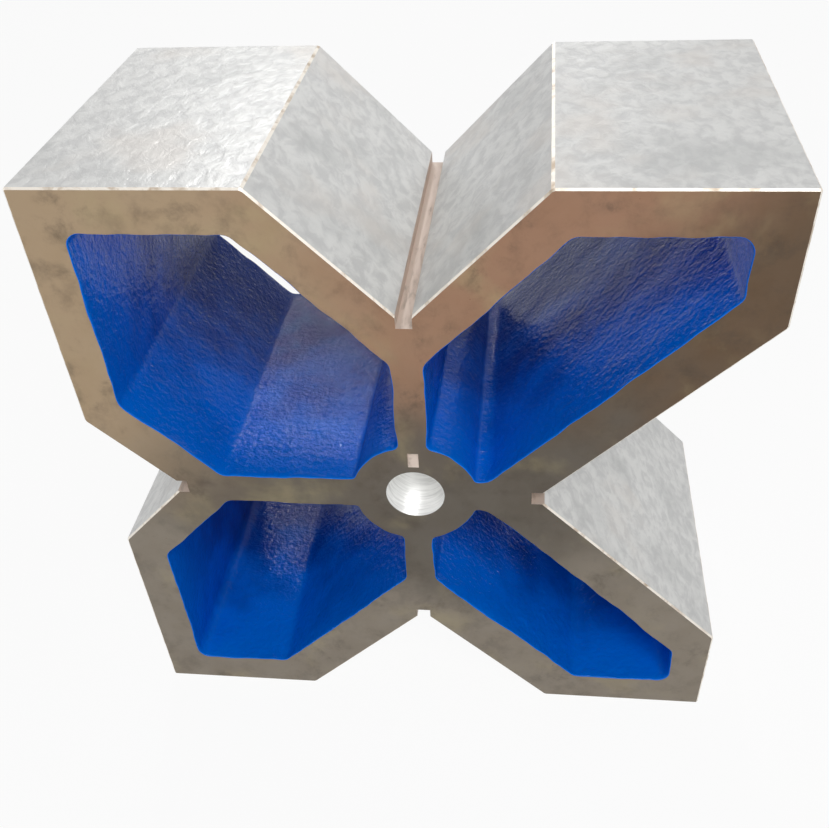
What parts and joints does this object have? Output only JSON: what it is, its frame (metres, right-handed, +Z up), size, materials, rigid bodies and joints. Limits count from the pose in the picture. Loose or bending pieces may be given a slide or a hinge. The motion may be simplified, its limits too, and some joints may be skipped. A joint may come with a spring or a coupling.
{
  "type": "v block",
  "caption": "Cast iron V block with a 90 degree groove of a different size in each side, painted cored pockets and a bore through the hub.",
  "frame": {"origin": "on the underside, in the middle of the block's width and depth", "axes": "+Z up through the top groove, +X towards the right groove, which is the widest, +Y from the front face to the back face, along the bore"},
  "size_m": [0.3, 0.16, 0.3],
  "materials": {
    "casting": "scraped and ground on the lands and flanks, oil-stained on the end faces, glossy blue paint in the pockets"
  },
  "bodies": {
    "root": {"v_block": "casting"}
  },
  "joints": []
}
